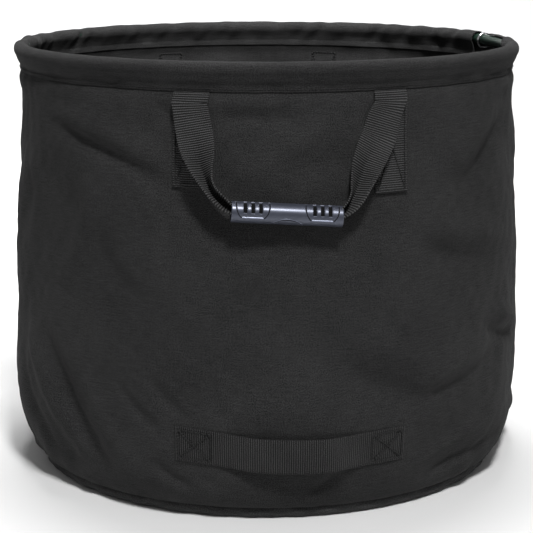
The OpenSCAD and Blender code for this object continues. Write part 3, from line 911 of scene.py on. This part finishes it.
def lower_strap():
    """Low strap: both ends lie on the wall; its free middle stands off it and sags a little."""
    half = (LOW_HIGH[0] - LOW_LOW[0]) / 2
    limit = math.asin(half / (BELLY_R + 1 * MM))
    angle = np.linspace(-limit, limit, 150)[:, None]
    free = math.radians(15.8)
    lift = ease((free - np.abs(angle)) / math.radians(10))
    across = np.linspace(0, 1, 17)[None]
    sag = -5.5 * MM * np.cos(angle / limit * math.pi / 2) ** 1.3 - 4 * MM * angle / limit
    z = LOW_LOW[2] + WEB_W * across + sag + 2.0 * MM
    on_wall = wall_radius(z) + wall_rise(angle, z)
    crown = 1.2 * MM * np.sin(math.pi * across) - 1.6 * MM * (1 - across)
    off_wall = wall_radius(LOW_HIGH[2]) + 7.2 * MM + crown
    radius = on_wall * (1 - lift) + off_wall * lift + WEB_T + 0.15 * MM
    points = around(angle, radius, z)
    uv = np.stack(np.broadcast_arrays(angle * 0.31, across * WEB_W), -1)
    piece = sheet_object("low_strap", points, uv, WEB_T)
    # The low strap uses the darker copy of the webbing colour, as painted shade.
    finish_piece(piece, material_of("low_webbing"), "bag", ["lower_strap"])
    return angle[:, 0], z, radius


def sewn_line(surface, path, pitch):
    """Stitch centres, directions and outward normals every pitch along a line drawn on a surface.
    surface maps (a, b) pairs to points; path is a list of (a, b) corners."""
    corners = np.array(path, float)
    step = 0.001
    found = []
    for start, end in zip(corners[:-1], corners[1:]):
        t = np.linspace(0, 1, 40)
        run = distance_along(*surface(start + (end - start) * t[:, None]).T)
        count = max(2, int(run[-1] / pitch))
        at = (np.arange(count) + 0.5) / count * run[-1]
        here = start + (end - start) * np.interp(at, run, t)[:, None]
        centre = surface(here)
        ahead = surface(here + (end - start) * 4 * step)
        beside, above = surface(here + [step, 0]), surface(here + [0, step])
        found.append((centre, unit(ahead - centre), unit(np.cross(beside - centre, above - centre))))
    return tuple(np.concatenate(column) for column in zip(*found))


STITCH_SIDES = 6
STITCH_RINGS = 6


def stitches(name, lines, nodes, inside=(), length=2.5 * MM, thick=0.42 * MM):
    """All stitches of some lines as one piece: each is a short bowed thread, (place along, angle
    round) -> the thread's surface. Lines in `inside` lie on the wall's inner face."""
    spots, ways, outs = (np.concatenate(part) for part in zip(*lines, *inside))
    outs = np.where((outs * spots * [1, 1, 0]).sum(-1, keepdims=True) < 0, -outs, outs)
    first = sum(len(line[0]) for line in lines)
    outs[first:] *= -1
    sides = np.cross(outs, ways)
    bow = np.linspace(-1, 1, STITCH_RINGS)[:, None]
    turn = np.linspace(0, TAU, STITCH_SIDES + 1)[None, :-1]
    width = np.sqrt(np.clip(1 - (bow * 0.93) ** 4, 0, 1)) * thick
    lift = (0.55 - 0.75 * bow ** 4) * thick
    ring = (sides[:, None, None] * (width * np.cos(turn))[None, ..., None]
            + outs[:, None, None] * (width * np.sin(turn) + lift)[None, ..., None]
            + ways[:, None, None] * (bow * length / 2)[None, ..., None])
    points = spots[:, None, None] + ring
    size = STITCH_RINGS * STITCH_SIDES
    tube = grid_faces(STITCH_RINGS, STITCH_SIDES, close_columns=True)
    lid = np.array([[0, 5, 4, 3], [3, 2, 1, 0]])
    far_lid = size - STITCH_SIDES + np.array([[0, 1, 2, 3], [3, 4, 5, 0]])
    shift = (np.arange(len(spots)) * size)[:, None, None]
    tubes, lids = ((part[None] + shift).reshape(-1, 4) for part in (tube, np.concatenate([lid, far_lid])))
    piece = mesh_object(name, points, np.concatenate([tubes, lids]))
    finish_piece(piece, material_of("thread"), "bag", nodes)


def box_path(a0, a1, b0, b1):
    """Corners of a sewn box with both diagonals."""
    rim = [(a0, b0), (a1, b0), (a1, b1), (a0, b1), (a0, b0)]
    return [rim, [(a0, b0), (a1, b1)], [(a0, b1), (a1, b0)]]


def patch_surface(spots):
    """Face of a sewn end, from (angle, height) pairs."""
    return wall_point(spots[:, 0], spots[:, 1], WEB_T + 0.3 * MM)


def lining_surface(spots):
    """Inner face of the wall, from (angle, height) pairs."""
    return wall_point(spots[:, 0], spots[:, 1], -CLOTH_T - 0.1 * MM)


def patch_stitches(name, middles, drops, node):
    """Boxes with crosses on the sewn ends, and the same threads showing inside the wall."""
    inset = 3 * MM
    lines = []
    inner = []
    for middle, drop in zip(middles, drops):
        turn = (WEB_W / 2 - inset) / HEM_R
        low, top = PATCH_LOW[2] - drop + inset, PATCH_HIGH[2] - 9 * MM
        for path in box_path(middle - turn, middle + turn, low, top):
            lines.append(sewn_line(patch_surface, path, cloth().stitch))
            inner.append(sewn_line(lining_surface, path, cloth().stitch))
    stitches(name, lines, [node], inside=inner, length=3.2 * MM, thick=0.8 * MM)


def hem_surface(spots):
    """Outside of the hem's outer flap, a little above the seam, from (angle, height) pairs."""
    up = np.array([0, 0, 1])
    foot = wall_point(spots[:, 0], SEAM_Z, CASING_T + 0.2 * MM)
    return foot + (spots[:, 1:] - SEAM_Z) * up


def hem_stitches():
    """One row of stitches round the hem's lower edge."""
    line_z = SEAM_Z + 3.2 * MM
    corners = [(a, line_z) for a in np.linspace(-math.pi, math.pi, 49)]
    outer = sewn_line(hem_surface, corners, cloth().stitch)
    stitches("hem_threads", [outer], ["hem_stitching"])


def base_surface(spots):
    """Turned-up edge of the base, from (angle, height) pairs."""
    return around(spots[:, 0], BASE_R - 3.3 * MM, spots[:, 1])


def base_stitches():
    """One row of stitches round the base's turned-up edge, facing inwards."""
    corners = [(a, LIP_H + 7 * MM) for a in np.linspace(0, TAU, 49)]
    spots, ways, outs = sewn_line(base_surface, corners, cloth().stitch)
    stitches("base_threads", [(spots, ways, -outs)], ["base_seam_stitching"])


def between_points(grid, a, b):
    """A grid's value at row a and column b, weighed by nearness from the four points round them."""
    i = np.minimum(a.astype(int), grid.shape[0] - 2)
    j = np.minimum(b.astype(int), grid.shape[1] - 2)
    u, v = a - i, b - j
    return ((grid[i, j] * (1 - u) + grid[i + 1, j] * u) * (1 - v)
            + (grid[i, j + 1] * (1 - u) + grid[i + 1, j + 1] * u) * v)


def low_strap_stitches(angles, z, radius):
    """Boxes at the low strap's ends, read off the strap's own grid: its angles, and the height and
    radius at each angle and place across."""
    def surface(spots):
        """Face of the strap, from (angle, share across) pairs."""
        a = np.clip((spots[:, 0] - angles[0]) / (angles[-1] - angles[0]), 0, 1) * (len(angles) - 1)
        b = np.clip(spots[:, 1], 0, 1) * (z.shape[1] - 1)
        heights, radii = between_points(z, a, b), between_points(radius, a, b)
        return around(spots[:, 0], radii + 0.15 * MM, heights)

    sewn = math.radians(8.0)
    inset = math.radians(0.6)
    lines = []
    for low, high in ((angles[0] + inset, angles[0] + sewn - inset),
                      (angles[-1] - sewn + inset, angles[-1] - inset)):
        for path in box_path(low, high, 0.09, 0.91):
            lines.append(sewn_line(surface, path, cloth().stitch))
    stitches("low_strap_threads", lines, ["lower_strap_stitching"], length=3.3 * MM,
             thick=0.95 * MM)


# Grip details, in millimetres along the grip and degrees round it, 0 facing away from the bag
GRIP_END = 58.0
GRIP_EDGE = 1.2
SLOT_GROUPS = (-35.8, 35.8)
SLOT_PITCH = 8.0
SLOT_HALF = 1.65
SLOT_ENDS = (8.0, 88.0)
CIRCLE_R = 17.2
CIRCLE_UP = 8.5
RUNG_PITCH = 16.0
BAR_HALF = 11.0
BAR_AT = -20.0
THUMB_R = 26.0
THUMB_UP = -30.0


def band(value, half, blur):
    """1 inside +-half, fading to 0 over blur outside it."""
    return ease((half + blur - np.abs(value)) / blur)


def slot_height(off, turn):
    """One finger slot: a pit with round rungs across it and a low lip round it. off is the distance
    from the slot's middle line."""
    middle, half = sum(SLOT_ENDS) / 2, (SLOT_ENDS[1] - SLOT_ENDS[0]) / 2
    away = turn - middle
    slot = band(off, SLOT_HALF, 0.25) * band(away, half, 3)
    rungs = 0.5 + 0.5 * np.cos(TAU * (turn - SLOT_ENDS[0]) / RUNG_PITCH)
    lip = (band(off, SLOT_HALF + 0.7, 0.4) * band(away, half + 5, 3)
           - band(off, SLOT_HALF + 0.1, 0.3) * band(away, half, 2))
    return 0.12 * np.clip(lip, 0, 1) - slot * (2.4 - 0.4 * rungs ** 3)


def grip_relief(x, turn):
    """Height of the grip's surface over a plain tube, in metres: x along the grip in millimetres,
    turn round it in degrees, 0 facing away from the bag and 90 on top."""
    up = GRIP_R / MM * np.sin(np.radians(turn))
    height = np.zeros(np.broadcast(x, turn).shape)
    for group in SLOT_GROUPS:
        for slot in (-1, 0, 1):
            height = height + slot_height(x - group - slot * SLOT_PITCH, turn)
        circle = np.hypot(x - group, up - CIRCLE_UP) - CIRCLE_R
        height = height - 0.45 * band(circle, 0.3, 0.35) * band(turn - 34, 54, 5)
        height = height + 0.7 * band(x - group, BAR_HALF, 0.5) * band(turn - BAR_AT, 2.6, 3)
    thumb = np.hypot(x, up - THUMB_UP) - THUMB_R
    reach = band(x, 14, 3) * band(turn + 35, 34, 6)
    ridge = 0.45 * band(thumb - 0.5, 0.25, 0.4) - 0.35 * band(thumb + 0.5, 0.25, 0.5)
    return (height + ridge * reach) * MM


def grip_half(name, front, outer, body, node):
    """Half of the moulded grip as a closed shell: relief on its outside, a plain bore, a rounded
    end lip, and flat edges where the two halves meet."""
    columns, rows = (420, 180) if outer else (120, 40)
    first, last = (-89.6, 89.6) if outer else (90.4, 269.6)
    x = np.linspace(-GRIP_END, GRIP_END, columns)[:, None]
    turn = np.linspace(first, last, rows)[None]
    relief = grip_relief(x, turn) if outer else 0
    past = ((np.abs(x) - GRIP_END) / GRIP_EDGE + 1).clip(0, 1)
    end = 0.9 * MM * (1 - np.sqrt(1 - past ** 2))
    seam = 0.25 * MM * np.exp(-((np.abs(turn - (first + last) / 2) - 89.6) / 2.0) ** 2)
    outside = GRIP_R + relief - end - seam
    bore = np.minimum(GRIP_R - 1.5 * MM, outside - 0.35 * MM)
    ring = np.concatenate([outside, bore[:, ::-1]], axis=1)
    angles = np.radians(np.concatenate([turn, turn[:, ::-1]], axis=1))
    axis = GRIP_AXIS * [1, -1, 1]
    up = np.array([-axis[2], 0, axis[0]])
    away = np.array([0, 1.0, 0])
    points = (GRIP_PIVOT * [1, -1, 1] + (x * MM)[..., None] * axis
              + (ring * np.cos(angles))[..., None] * away + (ring * np.sin(angles))[..., None] * up)
    points[..., 1] *= -1 if front else 1
    count = ring.shape[1]
    faces = grid_faces(columns, count, close_columns=True)
    k = np.arange(rows - 1)
    lid = np.stack([k, k + 1, count - 2 - k, count - 1 - k], -1)
    far = lid[:, ::-1] + (columns - 1) * count
    piece = mesh_object(name, points, np.concatenate([faces, lid, far]), flip=not front)
    depth = np.broadcast_to(relief, outside.shape) / MM
    # Painted shade: these values darken the grip's colour in its slots and sunk channels.
    painted_groove_shade = 0.9 * ease((-depth - 0.15) / 0.2) * (depth > -0.6)
    pit = ease((-depth - 0.7) / 0.5) + painted_groove_shade
    # Painted highlight: the grip's raised ridges get a lighter colour.
    ridge_highlight = ease((depth - 0.25) / 0.25)
    for label, values in (("pit", pit), ("ridge_highlight", ridge_highlight)):
        point_values(piece, label, np.concatenate([values, np.zeros(outside.shape)], axis=1))
    finish_piece(piece, material_of("grip"), body, [node])


def split_ring():
    """Two close turns of wire: a helix about the ring's axis, with its ends lapped."""
    wire = 0.95 * MM
    middle = 8.95 * MM
    t = np.linspace(0, 1, 260)
    turn = TAU * 2.04 * t
    slide = ease((t - 0.42) / 0.16) - 0.5
    hang = RING_PIVOT - [0, 0, 1.55 * MM]
    radial = unit(RING_PIVOT * [1, 1, 0])
    lift = np.array([0, 0, 1.0])
    centre = (hang + radial * (middle * np.sin(turn))[:, None] + lift * (middle * np.cos(turn))[:, None]
              + RING_AXIS * (slide * 1.9 * MM)[:, None])
    along = unit(np.gradient(centre, axis=0))
    out = unit(centre - hang - RING_AXIS * ((centre - hang) @ RING_AXIS)[:, None])
    across = np.cross(along, out)
    size = wire * np.clip(np.minimum(t, 1 - t) / 0.004, 0.3, 1) ** 0.5
    section = np.linspace(0, TAU, 17)[:-1]
    points = (centre[:, None] + out[:, None] * (size[:, None] * np.cos(section))[..., None]
              + across[:, None] * (size[:, None] * np.sin(section))[..., None])
    piece = closed_tube("hang_ring_wire", points)
    finish_piece(piece, material_of("ring"), "ring", ["hang_ring"])


# ---------------------------------------------------------------------------
# Operators
# ---------------------------------------------------------------------------


class BAG_OT_wall(bpy.types.Operator):
    """Folded canvas wall in two halves, with its bound side seams"""

    bl_idname = "garden_bag.wall"
    bl_label = "Wall"

    def execute(self, context):
        wall_half("wall_front", -FRONT_EDGE, ["wall_front_panel"])
        wall_half("wall_back", FRONT_EDGE, ["wall_back_panel"])
        seam_tapes()
        return {"FINISHED"}


class BAG_OT_base(bpy.types.Operator):
    """Round base with its turned-up edge and binding"""

    bl_idname = "garden_bag.base"
    bl_label = "Base"

    def execute(self, context):
        base_shell()
        base_stitches()
        paint_node("base_seam_binding", plain_material("bag_binding", colour_of("base"), 0.9))
        return {"FINISHED"}


class BAG_OT_hem(bpy.types.Operator):
    """Gathered hem around the hoop, with its opening at the ring"""

    bl_idname = "garden_bag.hem"
    bl_label = "Hem"

    def execute(self, context):
        hem_part("hem_front", -FRONT_EDGE, MOUTH_FRONT, 420, front_gather, ["rim_casing_front"],
                 mouth=math.radians(6), mouth_at="end")
        hem_part("hem_back", MOUTH_BACK, TAU - FRONT_EDGE, 420, back_gather, ["rim_casing_back"],
                 mouth=math.radians(3), mouth_at="start")
        hem_part("hem_outer_layer", MOUTH_FRONT - 0.06, MOUTH_RING - 0.015, 60, back_gather, [],
                 share_end=0.54)
        hem_part("hem_neck", MOUTH_RING - 0.03, MOUTH_BACK + 0.04, 30, back_gather, [],
                 share_end=0.24)
        hem_stitches()
        return {"FINISHED"}


class BAG_OT_hoop(bpy.types.Operator):
    """Hoop tube, its joining plug and the split ring"""

    bl_idname = "garden_bag.hoop"
    bl_label = "Hoop and ring"

    def execute(self, context):
        paint_node("rim_hoop_tube", material_of("hoop"))
        paint_node("hoop_joint_plug", plain_material("bag_plug", (0.08, 0.08, 0.08), 0.5))
        split_ring()
        return {"FINISHED"}


class BAG_OT_handles(bpy.types.Operator):
    """Both carry handles: sewn ends, free webbing, stitches and grips"""

    bl_idname = "garden_bag.handles"
    bl_label = "Carry handles"

    def execute(self, context):
        sides = {"front": 0.0, "back": math.pi}
        for place, turn in sides.items():
            middles = {"left": turn - LEG_TURN, "right": turn + LEG_TURN}
            drops = {"left": -4.5 * MM, "right": 4.5 * MM}
            for leg, middle in middles.items():
                patch(f"{place}_sewn_end_{leg}", middle, drops[leg], f"{place}_patch_{leg}")
            patch_stitches(f"{place}_sewn_end_threads", middles.values(), drops.values(),
                           f"{place}_patch_stitching")
            front = place == "front"
            strap(f"{place}_webbing", front, f"{place}_strap")
            body = f"{place}_grip"
            grip_half(f"{place}_grip_face", front, True, body, f"{place}_grip_outer_shell")
            grip_half(f"{place}_grip_back", front, False, body, f"{place}_grip_inner_shell")
        return {"FINISHED"}


class BAG_OT_low_strap(bpy.types.Operator):
    """Low tipping strap with its sewn ends"""

    bl_idname = "garden_bag.low_strap"
    bl_label = "Low strap"

    def execute(self, context):
        low_strap_stitches(*lower_strap())
        return {"FINISHED"}


class BAG_OT_stage(bpy.types.Operator):
    """Camera, lights and the pale floor"""

    bl_idname = "garden_bag.stage"
    bl_label = "Stage"

    def execute(self, context):
        make_camera()
        make_lights()
        make_floor()
        return {"FINISHED"}


def make_camera():
    """Camera in front of the bag, a little to the left of square and above the rim."""
    lens = bpy.data.cameras.new("view")
    lens.sensor_width = 36
    lens.lens = 112.05
    camera = bpy.data.objects.new("view", lens)
    bpy.context.scene.collection.objects.link(camera)
    turn = math.radians(-5.4)
    away, height, pitch = 1.984, 0.6581, 0.217
    camera.location = (away * math.sin(turn), -away * math.cos(turn), height)
    camera.rotation_euler = (math.pi / 2 - pitch, 0, turn)
    bpy.context.scene.camera = camera


def add_light(name, kind, place, target, power, **settings):
    """A lamp of a kind at a place, turned to shine towards the target."""
    lamp = bpy.data.lights.new(name, kind)
    lamp.energy = power
    for label, value in settings.items():
        setattr(lamp, label, value)
    light = bpy.data.objects.new(name, lamp)
    bpy.context.scene.collection.objects.link(light)
    aim = np.array(target, float) - np.array(place, float)
    flat = math.hypot(aim[0], aim[1])
    light.location = place
    light.rotation_euler = (math.atan2(flat, -aim[2]), 0, math.atan2(aim[1], aim[0]) - math.pi / 2)


def make_lights():
    """Soft light from above, one spot into the bag, one from the front, and one on the backdrop."""
    world = bpy.data.worlds.new("studio")
    world.use_nodes = True
    world.node_tree.nodes["Background"].inputs["Color"].default_value = (1, 1, 1, 1)
    world.node_tree.nodes["Background"].inputs["Strength"].default_value = 0.2
    bpy.context.scene.world = world
    add_light("overhead", "AREA", (0, 0.5, 2.7), (0, 0, 0.3), 62, shape="DISK", size=1.2)
    add_light("inside", "SPOT", (0, -1.2, 2.6), (0, 0.4, 0.5), 250, shadow_soft_size=0.2,
              spot_size=math.radians(19.5), spot_blend=0.3)
    add_light("key", "SPOT", (0.2, -2.1, 2.9), (0, 0, 0.33), 400, shadow_soft_size=0.25,
              spot_size=math.radians(29), spot_blend=0.3)
    add_light("backdrop", "AREA", (0, 1.6, 1.8), (0, 4.0, 0.9), 90, shape="DISK", size=2.0)
    bpy.context.scene.view_settings.view_transform = "Standard"


def make_floor():
    """Pale floor that curves up behind: a strip of points swept from front to back."""
    rows, columns = 60, 12
    line = np.linspace(0, 1, rows)
    front, back, round_off = -7.0, 3.0, 1.2
    bend = np.clip((line - 0.5) / 0.2, 0, 1) * math.pi / 2
    level = line < 0.5
    y = np.where(level, front + (back - front) * line / 0.5, back + round_off * np.sin(bend))
    rise = np.where(level, 0, round_off * (1 - np.cos(bend)))
    z = rise + np.clip(line - 0.7, 0, 1) * 8 - 0.5 * MM
    x = np.linspace(-9, 9, columns)[:, None]
    points = np.stack(np.broadcast_arrays(x, y[None], z[None]), -1)
    floor = mesh_object("floor", points, grid_faces(columns, rows))
    shader = Shader("floor_paint", 0.9, 0.2)
    speck = shader.noise(shader.object_place(), 3.0, 3.0, 0.5)
    shader.colour(shader.tint(speck.clamp(), (0.8, 0.8, 0.8), (0.83, 0.83, 0.83)))
    floor.data.materials.append(shader.material)


class BAG_PT_panel(bpy.types.Panel):
    """Sidebar panel with the bag's sizes, colours and pieces"""

    bl_idname = "BAG_PT_panel"
    bl_label = "Garden bag"
    bl_space_type = "VIEW_3D"
    bl_region_type = "UI"
    bl_category = "Garden bag"

    def draw(self, context):
        """List the settings, then a button for each piece."""
        for group in (context.scene.bag_cloth, context.scene.bag_finish):
            for label in group.__annotations__:
                self.layout.prop(group, label)
        for operator in PIECES:
            self.layout.operator(operator.bl_idname)


PIECES = (BAG_OT_stage, BAG_OT_wall, BAG_OT_base, BAG_OT_hem, BAG_OT_hoop, BAG_OT_handles,
          BAG_OT_low_strap)
CLASSES = (BagFinish, BagCloth, *PIECES, BAG_PT_panel)


def register():
    """Register the classes and hang the settings on the scene."""
    for item in CLASSES:
        bpy.utils.register_class(item)
    bpy.types.Scene.bag_finish = bpy.props.PointerProperty(type=BagFinish)
    bpy.types.Scene.bag_cloth = bpy.props.PointerProperty(type=BagCloth)


def unregister():
    """Take the settings and the classes away again."""
    del bpy.types.Scene.bag_cloth
    del bpy.types.Scene.bag_finish
    for item in reversed(CLASSES):
        bpy.utils.unregister_class(item)


def main():
    """Register the classes and build the whole bag."""
    register()
    bpy.ops.garden_bag.stage()
    bpy.ops.garden_bag.wall()
    bpy.ops.garden_bag.base()
    bpy.ops.garden_bag.hem()
    bpy.ops.garden_bag.hoop()
    bpy.ops.garden_bag.handles()
    bpy.ops.garden_bag.low_strap()


if __name__ == "__main__":
    main()
